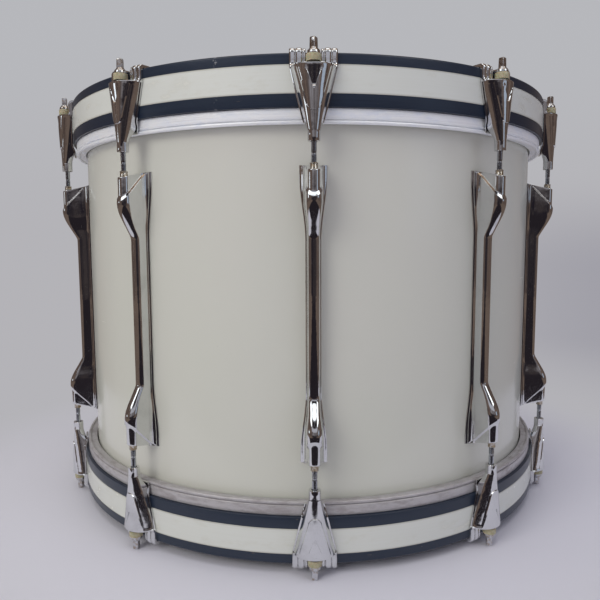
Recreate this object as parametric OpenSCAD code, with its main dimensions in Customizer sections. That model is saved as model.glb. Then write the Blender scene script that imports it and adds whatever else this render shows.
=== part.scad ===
// Bass drum on end: a covered plywood shell, two heads in aluminium flesh hoops, and two wooden
// counterhoops pulled down by claws and square-headed rods that screw into double-ended lugs.
// Millimetres. The origin is the centre of the drum and +Z is its axis. Lug 1 faces -Y and the
// numbers run anticlockwise seen from above. The lower end mirrors the upper end.

/* [Shell] */
// Outside diameter of the covered shell
shell_d = 607; // [560:1:660]
// Depth of the shell between its bearing edges
shell_depth = 406.4; // [400:0.2:440]
// Thickness of the plywood
ply_t = 7; // [6:0.5:9]
// Thickness of the plastic covering
wrap_t = 0.6; // [0.4:0.1:0.8]
// Height of the reinforcing ring inside each end
ring_h = 38; // [25:1:60]
// Thickness of the reinforcing ring
ring_t = 6; // [4:0.5:8]
// Radius of the air vent
vent_r = 6.5; // [5:0.5:8]

/* [Heads] */
// Thickness of the drum head film
head_t = 0.4; // [0.3:0.1:0.5]
// Radial thickness of the flesh hoop
flesh_t = 9.9; // [8:0.1:9.9]
// Height of the flesh hoop band
flesh_h = 12.2; // [11:0.1:14]
// Radius of the bead along the flesh hoop's lower rim
bead_r = 1.8; // [1.2:0.1:2.2]

/* [Counterhoops] */
// Radial gap from the covered shell to the counterhoop
hoop_gap = 5.9; // [5:0.1:7]
// Radial thickness of the counterhoop
hoop_t = 10; // [8:0.5:12]
// Height of the counterhoop
hoop_h = 49.2; // [46:0.1:54]
// How far the counterhoop laps below the bearing edge
hoop_lap = 4; // [3:0.5:5]
// Height of the coloured inlay
inlay_h = 26.5; // [16:0.5:28]
// Depth of the inlay
inlay_t = 0.6; // [0.4:0.1:1]

/* [Lugs] */
// Half of the lug's length over its end flanges
lug_half = 148; // [140:1:152]
// Width of the flange at the ends
lug_end_w = 27; // [24:0.5:32]
// Width of the flange along the waist
lug_waist_w = 14.5; // [12:0.5:18]
// Height of the waist above the shell
waist_rise = 16.5; // [14:0.5:19]
// Width of the rib along the waist
rib_w = 7.5; // [7:0.5:9]
// Outside radius of the tube that holds the swivel nut
tube_r = 6.4; // [6.2:0.1:7]

/* [Tensioning] */
// Radius of a tension rod's shank
rod_r = 2.8; // [2.5:0.1:3]
// Distance from the covered shell to a rod's axis
rod_out = 25; // [24:0.5:26]
// Side of the rod's square key head
key_w = 6; // [5:0.5:7]
// Outside radius of the washer under the rod's collar
washer_r = 7.2; // [6.5:0.1:7.6]
// Width of the claw across its ears
claw_w = 47; // [44:1:50]

/* [Hidden] */
LUGS = 10;
$fn = 96;
round_fn = 360;
lug_step = 360 / LUGS;
slip = 0.05;
loose = 0.2;
big = 400;

// Radii of the shell and of the parts around it
shell_r = shell_d / 2;
ply_r = shell_r - wrap_t;
bore_r = ply_r - ply_t;
edge_z = shell_depth / 2;
crest_r = ply_r - 2.5;
crest_w = 0.5;
vent_out = vent_r + 2;
vent_rim = 4.5;
vent_rim_t = 1.4;
seam_w = 0.4;
edge_drop = 2.2;
wrap_drop = 3.7;
flesh_in = shell_r + 1.6;
flesh_out = flesh_in + flesh_t;
hoop_in = shell_r + hoop_gap;
hoop_out = hoop_in + hoop_t;
hoop_z0 = edge_z - hoop_lap;
hoop_z1 = hoop_z0 + hoop_h;
inlay_z0 = hoop_z0 + 12.2;
rod_x = shell_r + rod_out;

// Drum head: the film runs over the crest and down a collar into the flesh hoop
collar_r = shell_r + 0.6;
collar_drop = 3;
film_seat = hoop_z0 - 6.9;
film_edge = flesh_in + 5.4;
groove_h = 1;

// Lug: the tube's bore, the swivel nut inside it and the screws that hold the lug
waist_z = 80;
peak_z = 116;
peak_x = shell_r + 33;
end_x = shell_r + 31;
end_foot = 0.6;
end_drop = 7.4;
flange_t = 2.4;
tube_relief = 1;
lug_wall = 1.7;
tube_z0 = 108;
nut_r = 4;
nut_z0 = 120;
nut_end = 147;
shoulder_r = 4.9;
shoulder_z0 = 124;
shoulder_h = 4;
lip_z = 131;
well_z = 100;
screw_z = 90;
screw_r = 2.5;
screw_head_r = 5;
screw_head_h = 3.4;
screw_depth = 11;
bolt_washer_r = 8;
bolt_washer_t = 1.2;

// Claw: a body that narrows to a neck round the rod, with two ears hooked over the hoop
claw_x0 = hoop_out + loose;
neck_r = 6;
neck_z0 = hoop_z0 - 33.2;
neck_z1 = hoop_z0 - 23.7;
body_z1 = hoop_z1 - 13.4;
body_w = 42;
edge_relief = 0.3;
front_x = shell_r + 33.5;
front_r = 23.5;
claw_wall = 2.6;
ear_z0 = body_z1 - 2.4;
hook_z = hoop_z1 + loose;
ear_z1 = hook_z + 3.2;
ear_gap = 17.5;
ear_t = 5.4;
finger_r = 3.3;
hook_in = hoop_in - 3.4;
hook_t = 3.2;
hook_drop = 5;
plate_t = 2.2;
plate_foot_w = 17;
plate_z0 = hoop_z0 - 12.2;
ridge_t = 1;
ridge_w = 28;
ridge_band = 4.4;
ridge_z0 = hoop_z0 - 6;
ridge_in_z0 = ridge_z0 + 17.8;

// Rod: the shank ends inside the lug, and the head stands above the washer
rod_z0 = 111;
washer_z0 = body_z1;
washer_z1 = washer_z0 + 8.5;
collar_h = 5.9;
collar_lo_r = 5.9;
collar_hi_r = 4.1;
key_z0 = washer_z1 + collar_h;
key_z1 = key_z0 + 9.3;
key_cone = 1.2;

function numbered(name) = [for (k = [1:LUGS]) str(name, k < 10 ? "_0" : "_", k)];

// Places a child, drawn with +X pointing away from the drum's axis, at lug k
module at_lug(k) {
    rotate([0, 0, (k - 1) * lug_step - 90]) children();
}

module each_lug() {
    for (k = [1:LUGS]) at_lug(k) children();
}

module lower_end() {
    mirror([0, 0, 1]) children();
}

module both_ends() {
    children();
    lower_end() children();
}

// Tube about the drum's axis
module band(r0, r1, z0, z1) {
    translate([0, 0, z0]) difference() {
        cylinder(r = r1, h = z1 - z0, $fn = round_fn);
        translate([0, 0, -1]) cylinder(r = r0, h = z1 - z0 + 2, $fn = round_fn);
    }
}

// Turns an outline of [distance from the axis, height] into a slab of the given width
module side_slab(points, width) {
    rotate([90, 0, 0]) linear_extrude(width, center = true) polygon(points);
}

// Turns an outline of [sideways, height] into a slab from x0 to x1
module face_slab(points, x0, x1) {
    translate([x0, 0, 0]) rotate([90, 0, 90]) linear_extrude(x1 - x0) polygon(points);
}

// Hole through the shell's wall, along the local X axis
module wall_hole(r, z) {
    translate([bore_r - ring_t - 2, 0, z]) rotate([0, 90, 0]) cylinder(r = r, h = 30);
}

module lug_holes() {
    each_lug() both_ends() wall_hole(screw_r + loose, screw_z);
}

// The air vent sits at the back, halfway between two lugs
module at_vent() {
    rotate([0, 0, 90 + lug_step / 2]) children();
}

module shell() {
    color("burlywood") difference() {
        rotate_extrude($fn = round_fn) polygon([
            [bore_r, -edge_z + ring_t], [crest_r - crest_w, -edge_z], [crest_r, -edge_z],
            [ply_r, -edge_z + edge_drop], [ply_r, edge_z - edge_drop], [crest_r, edge_z],
            [crest_r - crest_w, edge_z], [bore_r, edge_z - ring_t]
        ]);
        lug_holes();
        at_vent() wall_hole(vent_out + slip, 0);
    }
}

module shell_wrap() {
    color("ivory") difference() {
        band(ply_r, shell_r, -edge_z + wrap_drop, edge_z - wrap_drop);
        lug_holes();
        at_vent() wall_hole(vent_out + slip, 0);
        rotate([0, 0, 90 - lug_step / 2]) translate([shell_r, 0, 0])
            cube([20, seam_w, 2 * edge_z], center = true);
    }
}

module reinforcing_ring() {
    top = edge_z - ring_t;
    color("tan") rotate_extrude($fn = round_fn) polygon([
        [bore_r, top], [bore_r, top - ring_h],
        [bore_r - ring_t / 2, top - ring_h], [bore_r - ring_t, top - ring_h + ring_t / 2],
        [bore_r - ring_t, top - ring_t]
    ]);
}

// Eyelet through the wall, with a wide rim against the covering
module vent_grommet() {
    rim_r = vent_r + vent_rim;
    color("silver") at_vent() difference() {
        union() {
            translate([bore_r - vent_rim_t, 0, 0]) rotate([0, 90, 0])
                cylinder(r = vent_out, h = shell_r - bore_r + 2 * vent_rim_t);
            difference() {
                translate([shell_r - vent_rim_t, 0, 0]) rotate([0, 90, 0])
                    cylinder(r1 = rim_r, r2 = rim_r - vent_rim_t, h = 2 * vent_rim_t);
                cylinder(r = shell_r, h = 4 * rim_r, center = true, $fn = round_fn);
            }
        }
        wall_hole(vent_r, 0);
    }
}

module lug_screws() {
    head_x = bore_r - loose - bolt_washer_t;
    color("silver") each_lug() both_ends() translate([head_x, 0, screw_z]) rotate([0, 90, 0]) {
        cylinder(r = screw_r, h = shell_r + screw_depth - 1 - head_x);
        translate([0, 0, -screw_head_h])
            cylinder(r1 = screw_head_r - 1.2, r2 = screw_head_r, h = screw_head_h);
    }
}

module lug_screw_washers() {
    washer_x = bore_r - loose - bolt_washer_t;
    color("silver") each_lug() both_ends() translate([washer_x, 0, screw_z]) rotate([0, 90, 0])
        difference() {
            cylinder(r = bolt_washer_r, h = bolt_washer_t);
            translate([0, 0, -1]) cylinder(r = screw_r + loose, h = bolt_washer_t + 2);
        }
}

// Smooth step from 0 to 1
function ease(t) = let (u = min(max(t, 0), 1)) u * u * (3 - 2 * u);

// How far the lug has grown from its waist to its end at height z
function swell(z) = ease((abs(z) - waist_z) / (peak_z - waist_z));

function lug_flange_w(z) = lug_waist_w + (lug_end_w - lug_waist_w) * swell(z);

function lug_core_w(z) = rib_w + (2 * tube_r - tube_relief - rib_w) * swell(z);

function lug_top(z) = shell_r + waist_rise + (peak_x - shell_r - waist_rise) * swell(z);

// Heights over which the lug grows, in the given number of steps, above and below the middle.
// The start is set in a little so that no corner of one outline lands on a corner of another.
function rise(steps, start) = [for (i = [0:steps])
    waist_z + start + (peak_z - waist_z - 2 * start) * i / steps];

function up_and_down(steps, start, end) = let (up = rise(steps, start)) concat(
    [-end],
    [for (i = [steps:-1:0]) -up[i]],
    up,
    [end]
);

lug_flange_z = up_and_down(6, 0.4, lug_half);
lug_flange_face = concat(
    [for (z = lug_flange_z) [lug_flange_w(z) / 2, z]],
    [for (z = lug_flange_z) [-lug_flange_w(z) / 2, -z]]
);

lug_core_z = up_and_down(7, 0.9, lug_half + 1);
lug_core_face = concat(
    [for (z = lug_core_z) [lug_core_w(z) / 2, z]],
    [for (z = lug_core_z) [-lug_core_w(z) / 2, -z]]
);

// Outline of the lug seen from the side: its two ends slope back towards the middle
lug_side_z = up_and_down(8, 1.4, lug_half - end_drop);
lug_side = concat(
    [[shell_r - 1, end_foot - lug_half], [shell_r + 1, end_foot - lug_half]],
    [for (z = lug_side_z) [abs(z) > peak_z ? end_x : lug_top(z), z]],
    [[shell_r + 1, lug_half - end_foot], [shell_r - 1, lug_half - end_foot]]
);

module lug_tube() {
    translate([rod_x, 0, tube_z0]) cylinder(r = tube_r, h = lug_half - tube_z0);
}

module lug_bore() {
    translate([rod_x, 0, lip_z - 1]) cylinder(r = nut_r + slip, h = lug_half - lip_z);
    translate([rod_x, 0, well_z]) cylinder(r = shoulder_r + slip, h = lip_z - well_z);
    translate([shell_r - 2, 0, screw_z]) rotate([0, 90, 0])
        cylinder(r = screw_r + slip, h = screw_depth + 2);
}

// Hollow along the back of the waist, open towards the shell
module lug_pocket() {
    depth = waist_rise - lug_wall + 1;
    half = screw_z - 8;
    translate([shell_r - 1, lug_wall - rib_w / 2, -half]) cube([depth, rib_w - 2 * lug_wall, 2 * half]);
}

module lug(k) {
    color("lightgray") at_lug(k) difference() {
        union() {
            intersection() {
                face_slab(lug_flange_face, shell_r - 1, shell_r + flange_t + 1);
                cylinder(r = shell_r + flange_t, h = big, center = true, $fn = round_fn);
            }
            intersection() {
                union() {
                    face_slab(lug_core_face, shell_r - 1, rod_x + 2);
                    both_ends() lug_tube();
                }
                side_slab(lug_side, lug_end_w);
            }
        }
        cylinder(r = shell_r + slip, h = big, center = true, $fn = round_fn);
        both_ends() lug_bore();
        lug_pocket();
    }
}

module swivel_nuts() {
    color("goldenrod") each_lug() both_ends() translate([rod_x, 0, 0]) difference() {
        union() {
            translate([0, 0, nut_z0]) cylinder(r = nut_r, h = nut_end - nut_z0);
            translate([0, 0, shoulder_z0]) cylinder(r = shoulder_r, h = shoulder_h);
        }
        translate([0, 0, nut_z0 - 1]) cylinder(r = rod_r + slip, h = nut_end - nut_z0 + 2);
    }
}

module head() {
    under = edge_z + slip;
    color("whitesmoke") rotate_extrude($fn = round_fn) polygon([
        [0, under], [crest_r, under], [collar_r, under - collar_drop],
        [collar_r, film_seat], [film_edge, film_seat], [film_edge, film_seat + head_t],
        [collar_r + head_t, film_seat + head_t], [collar_r + head_t, under - collar_drop],
        [crest_r + head_t / 2, under + head_t], [0, under + head_t]
    ]);
}

module flesh_hoop() {
    low = hoop_z0 - flesh_h;
    chamfer = 0.8;
    groove_z = film_seat + head_t / 2;
    color("gainsboro") rotate_extrude($fn = round_fn) difference() {
        union() {
            polygon([
                [flesh_in, low], [flesh_out, low], [flesh_out, hoop_z0 - chamfer],
                [flesh_out - chamfer, hoop_z0], [flesh_in, hoop_z0]
            ]);
            translate([flesh_out - bead_r / 2, low - bead_r / 2]) circle(bead_r, $fn = 48);
        }
        translate([flesh_in - 1, groove_z - groove_h / 2]) square([film_edge - flesh_in + 1.4, groove_h]);
    }
}

// Counterhoop: a bent wooden ring whose outer corners are rounded, with a groove for the inlay
module hoop() {
    corner_r = 2;
    corner_steps = 6;
    chamfer = 0.6;
    corner = [for (i = [0:corner_steps]) let (a = 90 * i / corner_steps)
        [hoop_out - corner_r + corner_r * cos(a), hoop_z1 - corner_r + corner_r * sin(a)]];
    color("black") rotate_extrude($fn = round_fn) polygon(concat(
        [[hoop_in, hoop_z1 - chamfer], [hoop_in, hoop_z0], [hoop_out - chamfer, hoop_z0]],
        [[hoop_out, hoop_z0 + chamfer], [hoop_out, inlay_z0], [hoop_out - inlay_t, inlay_z0]],
        [[hoop_out - inlay_t, inlay_z0 + inlay_h], [hoop_out, inlay_z0 + inlay_h]],
        corner,
        [[hoop_in + chamfer, hoop_z1]]
    ));
}

module hoop_inlay() {
    color("ivory") band(hoop_out - inlay_t, hoop_out, inlay_z0, inlay_z0 + inlay_h);
}

// Tapered block whose front is rounded seen from above, shrunk on every side by inset
module claw_block(inset) {
    z0 = neck_z1 + (inset > 0 ? 2 * inset : 0);
    z1 = body_z1 - inset;
    w0 = neck_r + (inset > 0 ? 1.6 : 0) - inset;
    w1 = body_w / 2 - inset;
    intersection() {
        translate([front_x - front_r, 0, z0 - 1]) cylinder(r = front_r - inset, h = z1 - z0 + 1);
        face_slab([[-w0, z0], [w0, z0], [w1, z1], [-w1, z1]], claw_x0 - 5, front_x + 5);
        side_slab([
            [rod_x - neck_r + inset, neck_z1 - 2], [front_x - 2.5 - inset, neck_z1 - 2],
            [front_x + 1 - inset, plate_z0 + 4], [front_x + 1 - inset, body_z1 + 2],
            [claw_x0 - 3 - inset, body_z1 + 2], [claw_x0 - 3 - inset, hoop_z0 - 4]
        ], body_w + 4);
    }
}

// Raised V on the front of a claw
module claw_ridge() {
    half = ridge_w / 2;
    intersection() {
        translate([front_x - front_r, 0, neck_z1])
            cylinder(r = front_r + ridge_t, h = body_z1 - neck_z1);
        face_slab([
            [0, ridge_z0], [half, body_z1 - edge_relief], [half - ridge_band, body_z1 - edge_relief],
            [0, ridge_in_z0], [ridge_band - half, body_z1 - edge_relief],
            [-half, body_z1 - edge_relief]
        ], rod_x, front_x + 5);
    }
}

// One ear: a flat back with two upright fingers
module claw_ear() {
    inner = ear_gap / 2;
    width = (claw_w - ear_gap) / 2;
    translate([claw_x0 - 4, inner, ear_z0]) cube([ear_t + 4, width, ear_z1 - ear_z0]);
    for (y = [inner + finger_r + loose, inner + width - finger_r - loose])
        translate([claw_x0 + ear_t - loose, y, ear_z0]) cylinder(r = finger_r, h = ear_z1 - ear_z0);
}

// The ears' hooks run over the counterhoop's edge and turn down inside it
module claw_hooks() {
    inner = ear_gap / 2;
    width = (claw_w - ear_gap) / 2;
    both_sides() translate([hook_in, inner, hook_z])
        cube([claw_x0 - hook_in + 1, width, ear_z1 - hook_z]);
    intersection() {
        both_sides() translate([hook_in, inner, hook_z - hook_drop])
            cube([2 * hook_t, width, hook_drop + 1]);
        cylinder(r = hoop_in - loose, h = hook_z + 0.5, $fn = round_fn);
    }
}

module both_sides() {
    children();
    mirror([0, 1, 0]) children();
}

module claw() {
    difference() {
        union() {
            claw_block(0);
            claw_ridge();
            translate([rod_x, 0, neck_z0]) cylinder(r = neck_r, h = neck_z1 - neck_z0 + 3);
            face_slab([
                [-plate_foot_w / 2, plate_z0], [plate_foot_w / 2, plate_z0],
                [claw_w / 2, ear_z0 + 2], [-claw_w / 2, ear_z0 + 2]
            ], claw_x0 - 4, claw_x0 + plate_t);
            both_sides() claw_ear();
        }
        cylinder(r = claw_x0, h = hook_z, $fn = round_fn);
        claw_block(claw_wall);
        translate([rod_x, 0, neck_z0 - 1]) cylinder(r = rod_r + 0.5, h = body_z1 - neck_z0 + 2);
    }
    claw_hooks();
}

module claws() {
    color("lightgray") each_lug() claw();
}

module rod_washers() {
    color("khaki") each_lug() translate([rod_x, 0, washer_z0]) difference() {
        cylinder(r = washer_r, h = washer_z1 - washer_z0);
        translate([0, 0, -1]) cylinder(r = rod_r + loose, h = washer_z1 - washer_z0 + 2);
    }
}

module rod(k) {
    color("silver") at_lug(k) translate([rod_x, 0, 0]) {
        translate([0, 0, rod_z0]) cylinder(r1 = rod_r - 0.8, r2 = rod_r, h = 1);
        translate([0, 0, rod_z0 + 1]) cylinder(r = rod_r, h = washer_z1 - rod_z0);
        translate([0, 0, washer_z1]) cylinder(r1 = collar_lo_r, r2 = collar_hi_r, h = collar_h);
        intersection() {
            translate([-key_w / 2, -key_w / 2, key_z0 - 1]) cube([key_w, key_w, key_z1 - key_z0 + 1]);
            translate([0, 0, key_z0 - 1])
                cylinder(r1 = key_w + key_cone, r2 = key_w * 0.62, h = key_z1 - key_z0 + 1);
        }
    }
}

shell();
shell_wrap();
reinforcing_ring();  // top_reinforcing_ring
lower_end() reinforcing_ring();  // bottom_reinforcing_ring
vent_grommet();
lug_screws();
lug_screw_washers();
swivel_nuts();
head();  // top_head
lower_end() head();  // bottom_head
flesh_hoop();  // top_flesh_hoop
lower_end() flesh_hoop();  // bottom_flesh_hoop
hoop();  // top_hoop
lower_end() hoop();  // bottom_hoop
hoop_inlay();  // top_hoop_inlay
lower_end() hoop_inlay();  // bottom_hoop_inlay
claws();  // top_claws
lower_end() claws();  // bottom_claws
rod_washers();  // top_rod_washers
lower_end() rod_washers();  // bottom_rod_washers
lug(1);  // lug_01
lug(2);  // lug_02
lug(3);  // lug_03
lug(4);  // lug_04
lug(5);  // lug_05
lug(6);  // lug_06
lug(7);  // lug_07
lug(8);  // lug_08
lug(9);  // lug_09
lug(10);  // lug_10
rod(1);  // top_rod_01
rod(2);  // top_rod_02
rod(3);  // top_rod_03
rod(4);  // top_rod_04
rod(5);  // top_rod_05
rod(6);  // top_rod_06
rod(7);  // top_rod_07
rod(8);  // top_rod_08
rod(9);  // top_rod_09
rod(10);  // top_rod_10
lower_end() rod(1);  // bottom_rod_01
lower_end() rod(2);  // bottom_rod_02
lower_end() rod(3);  // bottom_rod_03
lower_end() rod(4);  // bottom_rod_04
lower_end() rod(5);  // bottom_rod_05
lower_end() rod(6);  // bottom_rod_06
lower_end() rod(7);  // bottom_rod_07
lower_end() rod(8);  // bottom_rod_08
lower_end() rod(9);  // bottom_rod_09
lower_end() rod(10);  // bottom_rod_10
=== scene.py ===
import math

import bmesh
import bpy
from mathutils import Matrix, Vector


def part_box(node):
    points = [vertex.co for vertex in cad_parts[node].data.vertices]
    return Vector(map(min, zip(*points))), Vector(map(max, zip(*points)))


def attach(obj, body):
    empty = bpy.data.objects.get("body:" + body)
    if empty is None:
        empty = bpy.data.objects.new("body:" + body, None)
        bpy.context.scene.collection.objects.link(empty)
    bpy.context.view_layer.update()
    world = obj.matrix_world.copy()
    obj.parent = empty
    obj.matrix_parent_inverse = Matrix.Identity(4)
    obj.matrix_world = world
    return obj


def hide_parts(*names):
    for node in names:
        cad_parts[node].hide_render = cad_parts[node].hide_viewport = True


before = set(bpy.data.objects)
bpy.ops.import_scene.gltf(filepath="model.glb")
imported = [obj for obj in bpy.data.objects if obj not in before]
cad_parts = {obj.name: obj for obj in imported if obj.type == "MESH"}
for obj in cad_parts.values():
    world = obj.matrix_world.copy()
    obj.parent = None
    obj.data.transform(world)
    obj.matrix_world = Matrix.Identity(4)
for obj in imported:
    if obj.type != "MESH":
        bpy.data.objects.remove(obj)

MM = 0.001
LUGS = 10
LUG_STEP = math.tau / LUGS
ROUND = 360


# -------------------- sizes from the frame


def reach(node):
    """Lowest and highest corner of a CAD node in millimetres."""
    low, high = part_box(node)
    return low / MM, high / MM


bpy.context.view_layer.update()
SHELL_R = reach("shell_wrap")[1].x
WRAP_Z = reach("shell_wrap")[1].z
HOOP_R = reach("top_hoop")[1].x
HOOP_Z0, HOOP_Z1 = (corner.z for corner in reach("top_hoop"))
INLAY_Z0, INLAY_Z1 = (corner.z for corner in reach("top_hoop_inlay"))
FLESH_R = reach("top_flesh_hoop")[1].x
FLESH_Z0 = reach("top_flesh_hoop")[0].z
HEAD_Z = reach("top_head")[1].z
LUG_Z = reach("lug_01")[1].z
ROD_LOW, ROD_HIGH = reach("top_rod_01")
ROD_X = -(ROD_LOW.y + ROD_HIGH.y) / 2
ROD_Z0, ROD_Z1 = ROD_LOW.z, ROD_HIGH.z
WASHER_Z0, WASHER_Z1 = (corner.z for corner in reach("top_rod_washers"))
NUT_Z1 = reach("swivel_nuts")[1].z
FLOOR_Z = reach("bottom_rod_01")[0].z
VENT = sum(reach("vent_grommet"), Vector()) / 2
TO_VENT = Matrix.Rotation(math.atan2(VENT.y, VENT.x), 4, "Z")

# Sizes that the CAD nodes' boxes don't give.
HOOP_T = 10.0
HOOP_IN = HOOP_R - HOOP_T
FLESH_IN = SHELL_R + 1.6
WRAP_T = 0.6
SHELL_IN = 296.0
SEAT_DEPTH = 0.6
VENT_HOLE_R = 8.6
VENT_BORE_R = 6.5
NUT_R = 4.0
NUT_Z0 = 120.0
NUT_SOCKET_Z = 131.0
THREAD_R = 2.8
THREAD_PITCH = 1.0583
THREAD_TOP_Z = 156.0
WASHER_FOOT = 1.7
SLIP = 0.05

# Metres: radius at which patterns are unrolled, the most a pattern shifts between pieces, and
# where the upper hoop's flaked patch begins and ends.
PATTERN_R = 0.31
PIECE_SHIFT = 3.7
FLAKED = (-0.0925, -0.0895)


# -------------------- mesh tools


def held(value):
    return min(max(value, 0.0), 1.0)


def ease(value):
    u = held(value)
    return u * u * (3.0 - 2.0 * u)


def mix(a, b, share):
    return a + (b - a) * share


def steps(start, end, count):
    return [mix(start, end, i / count) for i in range(count + 1)]


def circle(count):
    return [math.tau * i / count for i in range(count)]


class Solid:
    """Collects grids of points in millimetres and turns them into one closed mesh."""

    def __init__(self):
        self.points, self.faces, self.holed = [], [], []

    def add(self, points):
        first = len(self.points)
        self.points += [tuple(p) for p in points]
        return list(range(first, len(self.points)))

    def grid(self, rows, loop=True, ring=False):
        """Quads between rows. loop joins each row's ends, ring joins the last row to the first."""
        rows = [self.add(row) for row in rows]
        pairs = list(zip(rows, rows[1:] + rows[:1]))
        for low, high in pairs if ring else pairs[:-1]:
            count = len(low)
            for i in range(count if loop else count - 1):
                j = (i + 1) % count
                self.faces.append((low[i], low[j], high[j], high[i]))
        return rows

    def tube(self, rows):
        """A grid of closed rows with a flat face over each end."""
        rows = self.grid(rows)
        self.faces.append(tuple(reversed(rows[0])))
        self.faces.append(tuple(rows[-1]))
        return rows

    def cap_with_hole(self, outer, inner):
        self.holed.append((outer, inner))

    def mesh(self, name, material, sharp=34.0):
        bm = bmesh.new()
        made = [bm.verts.new(Vector(p) * MM) for p in self.points]
        for face in self.faces:
            corners = [made[i] for i in face]
            if len({tuple(round(c, 8) for c in v.co) for v in corners}) >= 3:
                bm.faces.new(corners)
        for outer, inner in self.holed:
            edges = []
            for loop in (outer, inner):
                for a, b in zip(loop, loop[1:] + loop[:1]):
                    ends = made[a], made[b]
                    edges.append(bm.edges.get(ends) or bm.edges.new(ends))
            bmesh.ops.triangle_fill(bm, edges=edges, use_beauty=True)
        bmesh.ops.remove_doubles(bm, verts=bm.verts, dist=1e-7)
        bmesh.ops.dissolve_degenerate(bm, edges=bm.edges, dist=1e-8)
        bmesh.ops.recalc_face_normals(bm, faces=bm.faces)
        for face in bm.faces:
            face.smooth = True
        for edge in bm.edges:
            edge.smooth = len(edge.link_faces) == 2 and edge.calc_face_angle(0) < math.radians(sharp)
        data = bpy.data.meshes.new(name)
        bm.to_mesh(data)
        bm.free()
        data.materials.append(material)
        return data


def turned(profile, count):
    """Rows of points made by turning an outline of [radius, height] about the Z axis."""
    return [[(r * math.cos(a), r * math.sin(a), z) for r, z in profile] for a in circle(count)]


def ring_mesh(name, profile, material, count=ROUND):
    """Ring turned from a closed outline."""
    solid = Solid()
    solid.grid(turned(profile, count), ring=True)
    return solid.mesh(name, material)


def arc(cx, cz, radius, start, end, count):
    """Points on an arc in the plane of [radius, height]; angles in degrees."""
    return [
        (cx + radius * math.cos(math.radians(a)), cz + radius * math.sin(math.radians(a)))
        for a in steps(start, end, count)
    ]


def at_lug(k, lower=False):
    """Placement of a mesh drawn with +X pointing away from the drum's axis, at lug k."""
    place = Matrix.Rotation((k - 1) * LUG_STEP - math.pi / 2, 4, "Z")
    return place @ Matrix.Rotation(math.pi, 4, "X") if lower else place


def put(name, data, body, node, place=None):
    """Adds a piece that stands for a CAD node and moves with a body."""
    piece = bpy.data.objects.new(name, data)
    bpy.context.scene.collection.objects.link(piece)
    piece.matrix_world = place or Matrix.Identity(4)
    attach(piece, body)
    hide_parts(node)
    return piece


# -------------------- material tools


def opaque(colour):
    return colour + (1.0,) if isinstance(colour, tuple) else colour


def grey(value, blue=0.0):
    return (value - blue, value, value + blue)


class Graph:
    """Short calls for shader nodes. Any input takes a socket or a plain value."""

    def __init__(self, tree):
        self.tree = tree

    def node(self, kind, inputs=None, **settings):
        made = self.tree.nodes.new("ShaderNode" + kind)
        for key, value in settings.items():
            setattr(made, key, value)
        for key, value in (inputs or {}).items():
            if isinstance(value, bpy.types.NodeSocket):
                self.tree.links.new(value, made.inputs[key])
            else:
                made.inputs[key].default_value = value
        return made

    def math(self, operation, a, b=0.0, c=0.0):
        return self.node("Math", {0: a, 1: b, 2: c}, operation=operation).outputs[0]

    def times(self, a, b):
        return self.math("MULTIPLY", a, b)

    def plus(self, a, b):
        return self.math("ADD", a, b)

    def scaled(self, a, factor, base):
        return self.math("MULTIPLY_ADD", a, factor, base)

    def length(self, x, y):
        return self.math("SQRT", self.plus(self.times(x, x), self.times(y, y)))

    def ramp(self, value, low, high, out_low=0.0, out_high=1.0):
        """Smooth step of a value from low to high."""
        inputs = {"Value": value, "From Min": low, "From Max": high, "To Min": out_low, "To Max": out_high}
        return self.node("MapRange", inputs, interpolation_type="SMOOTHSTEP").outputs[0]

    def within(self, value, low, high, soft):
        """1 between low and high, falling to 0 over soft outside them."""
        rise = self.ramp(value, low - soft, low)
        return self.times(rise, self.ramp(value, high, high + soft, 1.0, 0.0))

    def blend(self, share, a, b):
        """Colour a where share is 0 and colour b where it is 1."""
        inputs = {0: share, 6: opaque(a), 7: opaque(b)}
        return self.node("Mix", inputs, data_type="RGBA").outputs[2]

    def tint(self, colour, share, most, other):
        """A colour with up to most of another over it."""
        return self.blend(self.times(share, most), colour, other)

    def noise(self, place, scale, detail=3.0, roughness=0.5):
        """Noise with a number of waves per metre, of octaves, and the strength of the finer ones."""
        inputs = {"Vector": place, "Scale": scale, "Detail": detail, "Roughness": roughness}
        return self.node("TexNoise", inputs).outputs[0]

    def streaks(self, place, waves, detail=3.0, roughness=0.5):
        """Noise with its own number of waves per metre along each axis."""
        stretched = self.node("VectorMath", {0: place, 1: waves}, operation="MULTIPLY").outputs[0]
        return self.noise(stretched, 1.0, detail, roughness)

    def join(self, x, y, z):
        return self.node("CombineXYZ", {0: x, 1: y, 2: z}).outputs[0]

    def split(self, place):
        return self.node("SeparateXYZ", {0: place}).outputs

    def bump(self, height, distance, normal=None):
        """Normal bumped by a height of 0 to 1 that stands for a distance in metres."""
        inputs = {"Height": height, "Distance": distance}
        if normal is not None:
            inputs["Normal"] = normal
        return self.node("Bump", inputs).outputs[0]


class Surface(Graph):
    """A material made of nodes, ending in one Principled shader."""

    def __init__(self, name):
        self.material = bpy.data.materials.new(name)
        self.material.use_nodes = True
        super().__init__(self.material.node_tree)
        self.tree.nodes.clear()
        self.coords = self.node("TexCoord").outputs["Object"]
        shift = self.times(self.node("ObjectInfo").outputs["Random"], PIECE_SHIFT)
        inputs = {0: self.coords, 1: self.join(shift, shift, shift)}
        self.place = self.node("VectorMath", inputs, operation="ADD").outputs[0]

    def around(self):
        """Unrolled place, then its parts: distance round the drum from the front, distance from
        the axis, and height."""
        x, y, z = self.split(self.coords)
        angle = self.math("ARCTAN2", x, self.times(y, -1.0))
        parts = self.times(angle, PATTERN_R), self.length(x, y), z
        return self.join(*parts), *parts

    def done(self, **inputs):
        names = {key: key.replace("_", " ") for key in inputs}
        shader = self.node("BsdfPrincipled", {names[key]: value for key, value in inputs.items()})
        out = self.node("OutputMaterial")
        self.tree.links.new(shader.outputs[0], out.inputs["Surface"])
        return self.material


# -------------------- materials


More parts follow.
